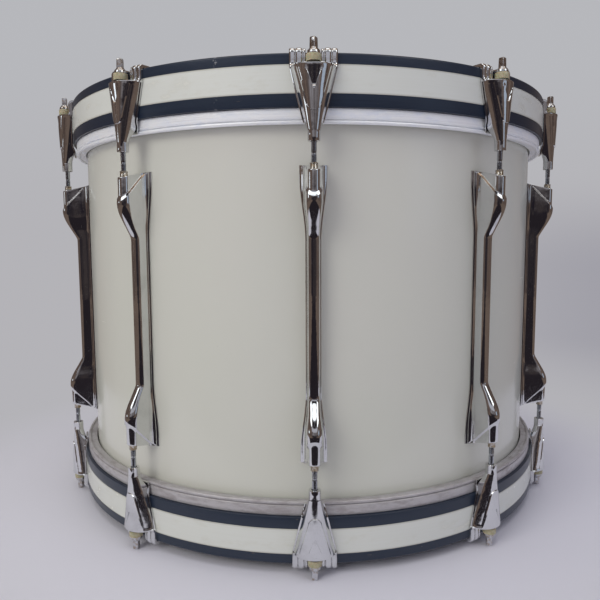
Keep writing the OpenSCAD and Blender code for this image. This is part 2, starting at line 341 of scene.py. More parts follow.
def chrome_plate():
    """Cast metal under bright chrome: slow waves, fine pits, finger smudges, faint dulling at edges."""
    s = Surface("chrome_plate")
    smudge = s.ramp(s.noise(s.place, 34.0, 4.0, 0.6), 0.48, 0.72)
    haze = s.noise(s.place, 160.0, 3.0)
    pits = s.ramp(s.noise(s.place, 1500.0, 2.0, 0.6), 0.66, 0.74)
    scratches = s.ramp(s.streaks(s.place, (900.0, 900.0, 60.0), 3.0), 0.6, 0.75)
    worn = s.ramp(s.node("NewGeometry").outputs["Pointiness"], 0.52, 0.6)
    colour = s.blend(smudge, grey(0.74, 0.008), grey(0.64, 0.004))
    colour = s.tint(colour, worn, 0.3, (0.78, 0.76, 0.72))
    colour = s.tint(colour, pits, 0.5, (0.22, 0.19, 0.16))
    rough = s.scaled(smudge, 0.06, 0.035)
    rough = s.plus(rough, s.times(haze, 0.03))
    rough = s.plus(rough, s.times(s.plus(scratches, pits), 0.12))
    wave = s.bump(s.noise(s.place, 70.0, 1.5), 0.00016)
    ripple = s.bump(s.noise(s.place, 420.0, 2.0), 0.000018, wave)
    normal = s.bump(pits, -0.00002, ripple)
    return s.done(Base_Color=colour, Metallic=1.0, Roughness=rough, Normal=normal)


def rod_steel():
    """Plated steel: dull grey-blue along the shank, brighter and worn warm on the head."""
    s = Surface("rod_steel")
    tarnish = s.ramp(s.streaks(s.place, (260.0, 260.0, 91.0), 4.0, 0.6), 0.35, 0.75)
    grain = s.streaks(s.place, (700.0, 700.0, 60.0), 2.0)
    head = s.ramp(s.split(s.coords)[2], (WASHER_Z1 - 0.4) * MM, (WASHER_Z1 + 0.2) * MM)
    worn = s.ramp(s.noise(s.place, 330.0, 4.0, 0.6), 0.45, 0.6)
    shank = s.blend(tarnish, (0.52, 0.55, 0.60), (0.34, 0.34, 0.36))
    top = s.blend(worn, (0.68, 0.69, 0.71), (0.48, 0.42, 0.36))
    colour = s.blend(head, shank, top)
    rough = s.plus(s.scaled(tarnish, 0.12, 0.16), s.times(grain, 0.06))
    rough = s.math("SUBTRACT", rough, s.times(head, 0.08))
    return s.done(Base_Color=colour, Metallic=1.0, Roughness=rough, Normal=s.bump(grain, 0.00002))


def zinc_steel():
    s = Surface("zinc_steel")
    cloud = s.noise(s.place, 300.0, 4.0)
    colour = s.blend(cloud, (0.52, 0.53, 0.55), (0.34, 0.33, 0.32))
    return s.done(Base_Color=colour, Metallic=1.0, Roughness=s.scaled(cloud, 0.3, 0.25),
                  Normal=s.bump(cloud, 0.00003))


def plated_brass():
    """Nickel worn through to warm brass."""
    s = Surface("plated_brass")
    worn = s.ramp(s.noise(s.place, 420.0, 4.0, 0.6), 0.4, 0.6)
    grain = s.streaks(s.place, (200.0, 200.0, 2200.0), 2.0)
    colour = s.blend(worn, (0.56, 0.53, 0.48), (0.40, 0.31, 0.21))
    rough = s.scaled(worn, 0.2, 0.2)
    return s.done(Base_Color=colour, Metallic=1.0, Roughness=rough, Normal=s.bump(grain, 0.00002))


def yellowed_nylon():
    """Old translucent nylon, yellow and slightly mottled, with fine turning marks, and its narrow foot
    painted almost black as shade under the washer.
    """
    s = Surface("yellowed_nylon")
    mottle = s.ramp(s.noise(s.place, 330.0, 4.0, 0.6), 0.35, 0.7)
    marks = s.streaks(s.coords, (60.0, 60.0, 3000.0), 2.0)
    colour = s.blend(mottle, (0.45, 0.41, 0.27), (0.34, 0.30, 0.18))
    foot_top = (WASHER_Z0 + WASHER_FOOT) * MM
    height = s.math("ABSOLUTE", s.split(s.coords)[2])
    # Painted shade: the narrow foot is coloured almost black to stand for the shadow line under the washer.
    foot = s.ramp(height, foot_top, foot_top + 0.0004, 1.0, 0.0)
    colour = s.blend(foot, colour, (0.05, 0.045, 0.035))
    return s.done(Base_Color=colour, Roughness=s.scaled(mottle, 0.2, 0.33),
                  Normal=s.bump(marks, 0.00004), Subsurface_Weight=0.15, Subsurface_Scale=0.003)


def shell_covering():
    """Glossy ivory plastic: nearly flat, with a slow wave, hairline scratches and a little yellowing."""
    s = Surface("shell_covering")
    flat, *_ = s.around()
    age = s.noise(flat, 5.0, 3.0, 0.55)
    cloud = s.noise(flat, 28.0, 3.0, 0.5)
    scratches = s.ramp(s.streaks(flat, (14.0, 1.0, 900.0), 3.0, 0.6), 0.70, 0.78)
    specks = s.ramp(s.noise(flat, 420.0, 2.0, 0.6), 0.75, 0.79)
    colour = s.blend(age, (0.60, 0.61, 0.53), (0.63, 0.61, 0.56))
    colour = s.tint(colour, cloud, 0.25, (0.56, 0.57, 0.51))
    colour = s.tint(colour, specks, 0.35, (0.30, 0.27, 0.22))
    rough = s.scaled(cloud, 0.08, 0.13)
    rough = s.plus(rough, s.times(scratches, 0.2))
    wave = s.bump(s.streaks(flat, (9.0, 1.0, 5.0), 1.0), 0.0012)
    normal = s.bump(scratches, -0.00002, wave)
    return s.done(Base_Color=colour, Roughness=rough, Normal=normal, IOR=1.48)


def hoop_black():
    """Black lacquer on bent wood: brush lines round the hoop, worn nicks, pale rubbed marks and,
    on the upper hoop, a flaked patch left of the front."""
    s = Surface("hoop_black")
    flat, across, _, z = s.around()
    lines = s.streaks(flat, (10.0, 60.0, 1400.0), 4.0, 0.6)
    rub = s.ramp(s.streaks(flat, (30.0, 200.0, 260.0), 4.0, 0.65), 0.60, 0.78)
    nicks = s.ramp(s.streaks(flat, (120.0, 300.0, 420.0), 3.0, 0.7), 0.71, 0.75)
    scuffed = s.times(s.within(across, *FLAKED, 0.0012), s.ramp(z, 0.15, 0.2))
    flakes = s.ramp(s.streaks(flat, (330.0, 300.0, 500.0), 3.0, 0.6), 0.56, 0.62)
    colour = s.blend(lines, (0.010, 0.016, 0.030), (0.021, 0.033, 0.058))
    colour = s.tint(colour, rub, 0.25, (0.07, 0.075, 0.085))
    colour = s.tint(colour, nicks, 0.6, (0.26, 0.20, 0.15))
    colour = s.tint(colour, s.times(scuffed, flakes), 0.7, (0.30, 0.30, 0.31))
    rough = s.scaled(lines, 0.18, 0.22)
    rough = s.plus(rough, s.times(rub, 0.2))
    wave = s.bump(s.streaks(flat, (24.0, 30.0, 60.0), 2.0), 0.0002)
    normal = s.bump(lines, 0.00006, s.bump(nicks, -0.0001, wave))
    return s.done(Base_Color=colour, Roughness=rough, Normal=normal)


def hoop_inlay():
    """Cream plastic strip with lengthwise marks and grime at its edges."""
    s = Surface("hoop_inlay")
    flat, _, _, z = s.around()
    lines = s.streaks(flat, (12.0, 1.0, 1300.0), 4.0, 0.6)
    stain = s.ramp(s.streaks(flat, (40.0, 1.0, 90.0), 4.0, 0.6), 0.5, 0.8)
    middle = (INLAY_Z0 + INLAY_Z1) / 2 * MM
    half = (INLAY_Z1 - INLAY_Z0) / 2 * MM
    off = s.math("ABSOLUTE", s.math("SUBTRACT", s.math("ABSOLUTE", z), middle))
    grime = s.ramp(off, half - 0.0022, half, 0.0, 0.55)
    colour = s.blend(lines, (0.63, 0.64, 0.58), (0.68, 0.69, 0.65))
    colour = s.tint(colour, stain, 0.35, (0.50, 0.47, 0.36))
    colour = s.blend(grime, colour, (0.33, 0.31, 0.25))
    rough = s.scaled(stain, 0.15, 0.2)
    wave = s.bump(s.streaks(flat, (14.0, 1.0, 30.0), 1.0), 0.0002)
    return s.done(Base_Color=colour, Roughness=rough, Normal=s.bump(lines, 0.00003, wave))


def flesh_hoop_aluminium():
    """Dull drawn aluminium with lines round the hoop and oxide blooms; the lower hoop is greyer from
    painted shade.
    """
    s = Surface("flesh_hoop_aluminium")
    flat, *_ = s.around()
    lines = s.streaks(flat, (14.0, 300.0, 2400.0), 4.0, 0.6)
    oxide = s.ramp(s.streaks(flat, (60.0, 100.0, 160.0), 5.0, 0.65), 0.42, 0.7)
    dents = s.streaks(flat, (30.0, 40.0, 60.0), 2.0)
    upper_with_oxide = s.blend(oxide, (0.98, 0.99, 1.0), (0.88, 0.91, 0.97))
    lower_oxide_and_painted_shade = s.blend(oxide, (0.48, 0.46, 0.465), (0.36, 0.33, 0.33))
    # Below the middle height in the world the colour turns to a darker, greyer copy: painted shade on the
    # lower hoop, over its oxide blooms.
    height = s.split(s.node("NewGeometry").outputs["Position"])[2]
    colour = s.blend(s.ramp(height, -0.1, 0.1), lower_oxide_and_painted_shade, upper_with_oxide)
    colour = s.tint(colour, s.ramp(lines, 0.52, 0.75), 0.4, (0.45, 0.42, 0.44))
    rough = s.plus(s.scaled(oxide, 0.2, 0.24), s.times(lines, 0.12))
    normal = s.bump(lines, 0.00005, s.bump(dents, 0.00025))
    return s.done(Base_Color=colour, Metallic=0.25, Roughness=rough, Normal=normal)


def head_film():
    """Smooth white film with a worn grey patch where beaters land and a few scuffs."""
    s = Surface("head_film")
    x, y, _ = s.split(s.coords)
    spread = s.length(x, y)
    cloud = s.noise(s.coords, 22.0, 5.0, 0.6)
    worn = s.times(s.ramp(spread, 0.02, 0.13, 1.0, 0.0), s.ramp(cloud, 0.3, 0.7))
    edge = s.ramp(spread, 0.262, 0.298)
    scuffs = s.ramp(s.streaks(s.coords, (60.0, 420.0, 60.0), 4.0, 0.65), 0.66, 0.76)
    colour = s.blend(cloud, (0.70, 0.70, 0.67), (0.64, 0.64, 0.60))
    colour = s.tint(colour, worn, 0.35, (0.42, 0.41, 0.39))
    colour = s.tint(colour, s.plus(edge, scuffs), 0.18, (0.42, 0.40, 0.34))
    rough = s.scaled(worn, 0.2, 0.3)
    normal = s.bump(s.noise(s.coords, 900.0, 2.0), 0.00002)
    return s.done(Base_Color=colour, Roughness=rough, Normal=normal)


def birch_ply():
    """Clear-sealed plywood: lengthwise grain, darker glue lines between plies at cut edges."""
    s = Surface("birch_ply")
    ply = 0.0014
    flat, _, radius, _ = s.around()
    grain = s.streaks(flat, (60.0, 60.0, 700.0), 5.0, 0.6)
    plies = s.math("SINE", s.times(radius, math.tau / ply))
    colour = s.blend(grain, (0.62, 0.45, 0.27), (0.42, 0.27, 0.14))
    colour = s.blend(s.ramp(plies, 0.5, 0.95, 0.0, 0.4), colour, (0.24, 0.14, 0.07))
    return s.done(Base_Color=colour, Roughness=s.scaled(grain, 0.2, 0.4),
                  Normal=s.bump(grain, 0.0001))


CHROME = chrome_plate()
ROD_STEEL = rod_steel()
ZINC = zinc_steel()
BRASS = plated_brass()
NYLON = yellowed_nylon()
COVERING = shell_covering()
BLACK = hoop_black()
INLAY = hoop_inlay()
ALUMINIUM = flesh_hoop_aluminium()
FILM = head_film()
PLY = birch_ply()


# -------------------- rings


def both_ends(label, mesh_data, body, node):
    """The same ring at the upper end and, turned over, at the lower end."""
    flip = Matrix.Rotation(math.pi, 4, "X")
    for end, place in (("top", Matrix.Identity(4)), ("bottom", flip)):
        put(f"{end}_{label}", mesh_data, body.format(end=end), node.format(end=end), place)


def make_hoop():
    edge = 2.4
    small = 0.8
    seat = HOOP_R - SEAT_DEPTH
    profile = arc(HOOP_IN + small, HOOP_Z1 - small, small, 180, 90, 4)
    profile += arc(HOOP_R - edge, HOOP_Z1 - edge, edge, 90, 0, 8)
    profile += [(HOOP_R, INLAY_Z1 + 0.15), (HOOP_R - 0.15, INLAY_Z1), (seat, INLAY_Z1)]
    profile += [(seat, INLAY_Z0), (HOOP_R - 0.15, INLAY_Z0), (HOOP_R, INLAY_Z0 - 0.15)]
    profile += arc(HOOP_R - small, HOOP_Z0 + small, small, 0, -90, 4)
    profile += [(HOOP_IN + 0.3, HOOP_Z0), (HOOP_IN, HOOP_Z0 + 0.3)]
    return ring_mesh("hoop_ring", profile, BLACK)


def make_inlay():
    low, high = INLAY_Z0 + SLIP, INLAY_Z1 - SLIP
    inner, outer = HOOP_R - SEAT_DEPTH + SLIP, HOOP_R + 0.02
    profile = [(inner, low), (outer - 0.2, low), (outer, low + 0.25)]
    profile += [(outer, high - 0.25), (outer - 0.2, high), (inner, high)]
    return ring_mesh("hoop_inlay_strip", profile, INLAY)


def make_flesh_hoop():
    """Band with a rounded lower edge, a groove under it and a bead along the rim."""
    low = HOOP_Z0 - 10.6
    bead = 1.9
    bead_x, bead_z = FLESH_R - 1.6, FLESH_Z0 + bead
    groove_x = FLESH_R - 2.6
    profile = [(FLESH_IN, HOOP_Z0 - 0.02), (FLESH_R - 0.8, HOOP_Z0 - 0.02)]
    profile += arc(FLESH_R - 0.8, HOOP_Z0 - 0.82, 0.8, 80, 10, 3)
    profile += [(FLESH_R, HOOP_Z0 - 4.0), (FLESH_R, low + 2.2)]
    profile += arc(FLESH_R - 1.8, low + 1.6, 1.8, -10, -80, 5)
    profile += [(groove_x, low - 0.2), (groove_x, bead_z + bead * 0.8)]
    profile += arc(bead_x, bead_z, bead, 60, -180, 14)
    profile += [(FLESH_IN + 4.0, FLESH_Z0 + 1.2), (FLESH_IN, FLESH_Z0 + 1.8)]
    return ring_mesh("flesh_hoop_ring", profile, ALUMINIUM)


def make_head():
    """Film with a flat playing face, a shallow crease ring, the crest and a collar."""
    crest = SHELL_R - WRAP_T - 2.5
    top = HEAD_Z
    collar = SHELL_R + 0.6
    faces = [(r, top) for r in (0.01, 40.0, 90.0, 150.0, 210.0, 262.0)]
    faces += [(278.0, top - 0.02), (281.0, top + 0.10), (284.0, top - 0.02), (296.0, top)]
    faces += arc(crest - 0.4, top - 3.4, 3.4, 88, 35, 6)
    faces += [(collar + 0.4, top - 6.0), (collar + 0.4, HOOP_Z0 - 2.0)]
    inner = [(r - 0.4, z - 0.3) for r, z in reversed(faces[8:])]
    inner += [(262.0, top - 0.4), (150.0, top - 0.4), (0.01, top - 0.4)]
    return ring_mesh("head_film", faces + inner, FILM)


def make_covering():
    """Sheet wrapped once round the shell; its outer end laps over its inner end at the back."""
    seam = math.radians(90.0) - LUG_STEP / 2
    lap, climb = 0.045, 0.012
    count = 720
    rise = 0.35
    heights = [-WRAP_Z, -WRAP_Z + 0.4] + steps(-160, 160, 8) + [WRAP_Z - 0.4, WRAP_Z]
    solid = Solid()
    rows = []
    for i in range(count + 1):
        angle = seam + (math.tau + lap) * i / count
        lift = ease((angle - seam - math.tau) / climb + 1.0) * rise
        low, high = SHELL_R - WRAP_T + lift, SHELL_R + lift
        row = [(high, z) for z in heights] + [(low, z) for z in reversed(heights)]
        rows.append([(r * math.cos(angle), r * math.sin(angle), z) for r, z in row])
    solid.tube(rows)
    return solid.mesh("shell_covering_sheet", COVERING)


def cut_vent(data):
    """Bores the vent's hole through the covering."""
    solid = Solid()
    plan = [(VENT_HOLE_R * math.cos(a), VENT_HOLE_R * math.sin(a)) for a in circle(48)]
    solid.tube([[(x, y, z) for y, z in plan] for x in (SHELL_IN - 6.0, SHELL_R + 12.0)])
    cutter = bpy.data.objects.new("vent_cutter", solid.mesh("vent_cutter", CHROME))
    cutter.matrix_world = TO_VENT
    target = bpy.data.objects.new("covering_uncut", data)
    for thing in (cutter, target):
        bpy.context.scene.collection.objects.link(thing)
    cut = target.modifiers.new("vent", "BOOLEAN")
    cut.object = cutter
    cut.operation = "DIFFERENCE"
    cut.solver = "EXACT"
    bpy.context.view_layer.update()
    made = bpy.data.meshes.new_from_object(target.evaluated_get(bpy.context.evaluated_depsgraph_get()))
    for thing in (cutter, target):
        bpy.data.objects.remove(thing)
    made.set_sharp_from_angle(angle=math.radians(34.0))
    return made


def make_vent():
    """Rolled eyelet, drawn along its own Z axis: a wide rim outside and a narrow one inside."""
    wall = SHELL_R - SHELL_IN
    bore = VENT_BORE_R
    profile = arc(bore + 2.1, wall + 0.2, 2.1, 180, 90, 6)
    profile += [(bore + 3.6, wall + 1.9), (bore + 4.4, wall + 1.0), (bore + 4.5, wall + 0.05)]
    profile += [(bore + 2.0, wall + 0.05), (bore + 2.0, -1.2)]
    profile += arc(bore + 1.2, -0.6, 1.2, 0, -180, 8)
    return ring_mesh("vent_eyelet", profile, CHROME, count=64)


# -------------------- lug

# Z is along the drum, H is height above the shell and R is half a width. The waist ends at
# WAIST_Z, and at PEAK_Z the diagonal ridge from the flange's end meets the body's highest point.
WAIST_Z = 79.0
FULL_Z = 100.0
PEAK_Z = 116.0
WAIST_H = 16.5
WAIST_R = 5.9
WAIST_ROUND = 5.4
TUBE_R = 6.4
TUBE_H = ROD_X - SHELL_R
PEAK_H = 33.0
FILLET_H0 = 3.2
END_SLOPE = 7.4 / 31.0
RIDGE_TOP_Z = 147.2
RIDGE_FOOT_H = 3.0
PROUD = 1.35


def lug_growth(z):
    """How far the casting has grown from its waist (0) to its full height (1), with a firm foot."""
    u = (z - WAIST_Z) / (PEAK_Z - WAIST_Z)
    u = min((u + math.sqrt(u * u + 0.0016)) / 2, 1.0)
    return math.sin(math.pi / 2 * u) ** 1.08


def lug_section(z, proud):
    """Half of the casting's outline at height z, from the flange's lower corner to the crown, as
    [sideways, height above the shell], pushed out by proud on the body above the flange."""
    grown = lug_growth(z)
    flange = 7.9 + 5.6 * ease((z - 76.0) / 62.0)
    base = 6.6 + 4.6 * ease((z - 78.0) / 54.0)
    side = mix(WAIST_R, TUBE_R, ease((z - WAIST_Z) / (PEAK_Z - WAIST_Z) * 1.25))
    fillet_h = 6.0 + 5.0 * grown
    crown_h = mix(WAIST_H - WAIST_ROUND, TUBE_H, grown)
    top = mix(WAIST_H, TUBE_H + TUBE_R, grown)
    power = mix(0.8, 1.0, ease((z - 84.0) / 26.0))
    points = [(flange, 0.0), (flange, 1.1), (flange - 0.15, 1.4), (flange - 0.45, 1.6)]
    full = 1.35
    weights = [0.0] * 4
    points += [(base + 0.5, 2.15), (base + 0.1, 2.35), (base - 0.05, 2.9)]
    weights += [0.0, 0.0, 0.1]
    for i in range(1, 9):
        a = math.pi / 2 * i / 8
        points.append((mix(base, side, math.sin(a)), mix(FILLET_H0, fillet_h, 1 - math.cos(a))))
        weights.append(mix(0.15, full, ease(i / 6)))
    points.append((side, (fillet_h + crown_h) / 2))
    weights.append(full)
    for i in range(11):
        a = math.pi / 2 * i / 10
        across = math.cos(a) ** power if i < 10 else 0.0
        points.append((side * across, mix(crown_h, top, math.sin(a) ** power)))
        weights.append(mix(full, full - 0.2, ease(i / 10)))
    return pushed(points, [w * proud for w in weights])


def pushed(points, amounts):
    """Moves each point of a half outline outwards along its own normal."""
    out = []
    for i, (y, h) in enumerate(points):
        before = points[max(i - 1, 0)]
        after = points[i + 1] if i + 1 < len(points) else (-before[0], before[1])
        dy, dh = after[0] - before[0], after[1] - before[1]
        size = math.hypot(dy, dh) or 1.0
        out.append((y + dh / size * amounts[i], h - dy / size * amounts[i]))
    return out


def ridge_z(h):
    """Height of the diagonal ridge that runs from the flange's end down to the peak."""
    u = (h - RIDGE_FOOT_H) / (PEAK_H - RIDGE_FOOT_H)
    return mix(RIDGE_TOP_Z, PEAK_Z, held(u))


def end_z(h):
    return LUG_Z - END_SLOPE * h


def lug_row(guide, proud, shrink=0.0):
    """A closed row round the casting. guide gives each point's z from its height above the shell,
    and the first guesses at those heights settle in a few rounds."""
    rounds = 6
    half = []
    for i, (_, h) in enumerate(lug_section(guide(0.0), 0.0)):
        for _ in range(rounds):
            z = guide(h)
            section = lug_section(z, proud(z))
            h = section[i][1]
        y, h = pushed(section, [-shrink] * len(section))[i]
        half.append((y, max(h, 0.0), z))
    left = [(-y, h, z) for y, h, z in half]
    right = [(y, h, z) for y, h, z in reversed(half[:-1])]
    width, _, foot_z = half[0]
    under = [(width * (1 - 2 * j / 6), 0.0, foot_z) for j in range(1, 6)]
    base = SHELL_R + SLIP
    return [(h + math.sqrt(base * base - y * y), y, z) for y, h, z in left + right + under]


def make_lug():
    """Double-ended casting: thin flange, slim waist, and at each end a nut's tube in a proud body."""

    def flat(_):
        return 0.0

    def body(z):
        return PROUD * ease((z - 88.0) / 24.0)

    def plane(height):
        return lambda h: height

    def between(low, high, share):
        return lambda h: mix(low(h), high(h), share)

    def ledge(h):
        return ridge_z(h) + min(2.4, 0.5 * (end_z(h) - ridge_z(h)))

    rows = [lug_row(plane(z), flat) for z in (0, 15, 30, 45, 60, 70, 75, 77)]
    rows += [lug_row(plane(z), body) for z in steps(WAIST_Z - 1.0, FULL_Z, 16)]
    for i in range(1, 17):
        rows.append(lug_row(between(plane(FULL_Z), ridge_z, 1 - (1 - i / 16) ** 1.35), body))
    rows.append(lug_row(between(ridge_z, ledge, 0.1), lambda z: PROUD - 0.08))
    rows.append(lug_row(between(ridge_z, ledge, 0.9), lambda z: 0.08))
    for share in (0.0, 0.1, 0.35, 0.6, 0.82, 0.94):
        rows.append(lug_row(between(ledge, end_z, share), flat))
    for drop, shrink in ((0.22, 0.04), (0.06, 0.14), (0.0, 0.4)):
        rows.append(lug_row(lambda h, drop=drop: end_z(h) - drop, flat, shrink))
    mirrored = [[(x, y, -z) for x, y, z in row] for row in reversed(rows[1:])]
    solid = Solid()
    made = solid.grid(mirrored + rows)
    bore = NUT_R + 0.12
    plan = [(ROD_X + bore * math.cos(a), bore * math.sin(a)) for a in circle(32)]
    for outer, sign in ((made[0], -1), (made[-1], 1)):
        mouth = [(x, y, sign * end_z(x - SHELL_R)) for x, y in plan]
        deep = [(x, y, sign * NUT_SOCKET_Z) for x, y in plan]
        rings = solid.grid([mouth, deep])
        solid.faces.append(tuple(rings[-1]))
        solid.cap_with_hole(outer, rings[0])
    return solid.mesh("lug_casting", CHROME, 30.0)


# -------------------- claw

# X is distance from the drum's axis. The raised V starts at V_FOOT_Z, and the pocket sunk in it
# at POCKET_FOOT_Z.
CLAW_BACK = HOOP_R + 0.3
NECK_R = 6.0
NECK_Z0 = HOOP_Z0 - 33.2
NECK_Z1 = HOOP_Z0 - 23.7
SHELF_Z = WASHER_Z0
FRONT_X = SHELL_R + 33.5
V_FOOT_Z = 193.3
POCKET_FOOT_Z = 213.5
PLATE_Z0 = 184.6


def claw_width(z):
    """Half width of the claw's body: straight sides from the shelf to the neck."""
    if z < NECK_Z1 + 0.1:
        return NECK_R - (0.4 if z < NECK_Z0 + 0.2 else 0.0)
    shoulder = NECK_Z1 + 0.8
    return mix(6.6, 21.3, (z - shoulder) / (SHELF_Z - shoulder))


def claw_lines(z):
    """Sideways places of the inner pocket's edge and of the raised V's outer edge."""
    inner = 0.5 + 8.3 * max(0.0, (z - POCKET_FOOT_Z) / 21.5)
    round_foot = math.sqrt(1 - (1 - held((z - V_FOOT_Z) / 5.0)) ** 2)
    outer = 0.9 + 4.3 * round_foot + 11.0 * max(0.0, (z - V_FOOT_Z - 1.7) / 40.0)
    return inner, outer


def claw_row(z, rim=0.0, inset=0.0):
    """A closed row round the claw's body, seen from above; rim lifts it all to the shelf's edge."""
    width = claw_width(z) - inset
    grown = (z - NECK_Z1) / (SHELF_Z - NECK_Z1)
    front = mix(ROD_X + NECK_R, FRONT_X, held(grown)) - inset
    edge = mix(ROD_X, CLAW_BACK + 2.3, ease((z - NECK_Z1) / 32.0))
    back = mix(ROD_X - NECK_R, CLAW_BACK, ease((z - NECK_Z1) / 14.0)) + (inset if z < NECK_Z1 else 0.0)
    bow = min((front - edge) / width, 1.0)
    centre = (1.0 + bow * bow) / (2.0 * bow)
    inner, outer = claw_lines(z)
    wall, crease = 0.45, 0.05
    ridge = 0.95 * ease((z - V_FOOT_Z) / 0.3)
    pocket = ridge - 1.3 * ease((z - POCKET_FOOT_Z) / 2.0) * held((233.0 - z) / 17.5)
    ys = [(inner * i / 4, pocket) for i in range(5)]
    ys += [(y, ridge) for y in steps(inner + wall, outer - crease, 5)] + [(outer + wall, 0.0)]
    ys += [(mix(outer + wall, width, math.sin(math.pi / 2 * i / 9)), 0.0) for i in range(1, 10)]
    half = []
    for y, lift in ys:
        s = min(y / width, 1.0)
        rise = (math.sqrt(max(centre * centre - s * s, 0.0)) - centre + bow) / bow
        lift = mix(lift, 0.95 * (1 - s ** 6), rim)
        half.append((edge + (front - edge) * rise + lift, y))
    behind = []
    for i in range(1, 8):
        a = math.pi / 2 + math.pi / 2 * i / 8
        round_x = edge + (edge - back) * math.cos(a)
        round_y = width * math.sin(a)
        square_x = back if i > 2 else mix(edge, back, i / 3)
        square_y = width if i < 4 else width * (8 - i) / 5
        blend = ease((z - NECK_Z1) / 16.0)
        behind.append((mix(round_x, square_x, blend), mix(round_y, square_y, blend)))
    right = half + behind + [(back, 0.0)]
    left = [(x, -y) for x, y in reversed(right[1:-1])]
    return [(x, y, z) for x, y in right + left]


def claw_body(solid):
    rows = [claw_row(NECK_Z0, inset=0.1), claw_row(NECK_Z0 + 0.35), claw_row(NECK_Z0 + 4.5)]
    rows += [claw_row(NECK_Z1 - 0.1), claw_row(NECK_Z1 + 0.15), claw_row(NECK_Z1 + 0.8)]
    heights = steps(NECK_Z1 + 1.6, V_FOOT_Z - 1.3, 8)
    heights += [V_FOOT_Z + rise for rise in (0.0, 0.2, 0.35, 0.6, 1.1, 1.9, 3.1, 4.3)]
    heights += steps(V_FOOT_Z + 6.2, POCKET_FOOT_Z - 2.0, 6)
    heights += steps(POCKET_FOOT_Z, POCKET_FOOT_Z + 3.0, 4) + steps(POCKET_FOOT_Z + 5.0, 231.0, 8)
    rows += [claw_row(z) for z in heights]
    rows += [claw_row(SHELF_Z - 3.2, 0.1), claw_row(SHELF_Z - 2.4, 0.5), claw_row(SHELF_Z - 1.7, 0.9)]
    rows += [claw_row(SHELF_Z - 0.9, 1.0), claw_row(SHELF_Z - 0.35, 1.0, 0.12)]
    rows += [claw_row(SHELF_Z - 0.08, 1.0, 0.45), claw_row(SHELF_Z, 1.0, 0.9)]
    made = solid.grid(rows)
    bore = 3.4
    plan = [(ROD_X + bore * math.cos(a), bore * math.sin(a)) for a in circle(32)]
    inner = solid.grid([[(x, y, z) for x, y in plan] for z in (NECK_Z0, SHELF_Z)])
    solid.cap_with_hole(made[0], inner[0])
    solid.cap_with_hole(made[-1], inner[1])


def claw_plate(solid):
    """Thin plate against the hoop, a little wider than the body, with a foot over the flesh hoop."""
    low, high = PLATE_Z0, SHELF_Z - 0.6
    rows = []
    for z in [low, low + 0.3] + steps(low + 2.5, high - 0.4, 22) + [high]:
        width = claw_width(z) + 1.0 + 0.5 * math.sin(math.pi * held((z - 178.0) / 60.0))
        tuck = 2.6 * ease((198.0 - z) / 9.0)
        thick = 2.2 if low + 0.1 < z < high - 0.1 else 1.5
        edge = [(width - 0.7, thick), (width - 0.1, thick - 0.5), (width, 0.6), (width - 0.5, 0.0)]
        middle = steps(-0.85 * width, 0.85 * width, 8)
        outline = [(-y, t) for y, t in reversed(edge)] + [(y, thick) for y in middle]
        outline += edge + [(y, 0.0) for y in reversed(middle)]
        rows.append([(math.sqrt(CLAW_BACK ** 2 - y * y) - tuck + t, y, z) for y, t in outline])
    solid.tube(rows)


def ear_columns():
    """Outline of an ear across its fingers: [sideways, share of the finger's height]."""
    fingers = [(8.5, 1.3, 0.5), (13.4, 3.2, 1.0), (19.6, 2.9, 0.92)]
    columns = []
    for centre, half, tall in fingers:
        for i in range(11):
            a = math.pi * i / 10
            columns.append((centre - half * math.cos(a), tall * math.sin(a) ** 0.6))
    return columns


def ear_path():
    """Middle line of an ear: up the hoop's face, over its edge and down inside, with outward directions."""
    top = HOOP_Z1 + 0.25
    x0 = CLAW_BACK + 0.05
    x1 = HOOP_IN - 0.25
    turn = 1.6

    def bend(centre, angles):
        aims = [(math.cos(math.radians(a)), math.sin(math.radians(a))) for a in angles]
        return [((centre + turn * c, top - turn + turn * s), (c, s)) for c, s in aims]

    climb = [SHELF_Z + rise for rise in (-1.6, -0.5, 0.4, 1.2)] + steps(SHELF_Z + 2.2, top - turn, 4)
    path = [((x0, z), (1.0, 0.0)) for z in climb]
    path += bend(x0 - turn, steps(0, 90, 9)[1:])
    path += [((x, top), (0.0, 1.0)) for x in steps(x0 - turn - 1.5, x1 + turn + 1.0, 3)]
    path += bend(x1 + turn, steps(90, 180, 8))
    path += [((x1, z), (-1.0, 0.0)) for z in steps(top - turn - 0.8, top - 4.6, 2)]
    path += [((x1, top - 5.0), (-1.0, -0.05))]
    return path


def claw_ear(solid, side):
    """One ear, a closed bar with finger ribs that fade as it passes over the hoop's edge."""
    columns = ear_columns()
    path = ear_path()
    thin, tall = 2.3, 2.2
    rows = []
    for i, ((x, z), (nx, nz)) in enumerate(path):
        over = math.degrees(math.atan2(nz, nx))
        rib = tall * mix(1.0, 0.3, ease(over / 150.0))
        flare = 1.3 * (1 - held((z - SHELF_Z) / 2.2)) ** 2 if nx == 1.0 else 0.0
        end = 0.5 if i == len(path) - 1 else 1.0
        skin = thin * mix(1.0, 0.85, ease(over / 180.0)) * end
        outer = [(y, skin + rib * share * end + flare) for y, share in columns]
        y0, y1 = columns[0][0], columns[-1][0]
        inner = [(mix(y1, y0, j / 6), 0.0) for j in range(7)]
        row = []
        for y, out in [(y0, skin * 0.5)] + outer + [(y1, skin * 0.5)] + inner:
            sag = x - math.sqrt(x * x - y * y)
            row.append((x - sag + nx * out, side * y, z + nz * out))
        rows.append(row)
    solid.tube(rows)


def make_claw():
    solid = Solid()
    claw_body(solid)
    claw_plate(solid)
    for side in (-1, 1):
        claw_ear(solid, side)
    return solid.mesh("claw_casting", CHROME, 32.0)


# -------------------- rod, nut and washer


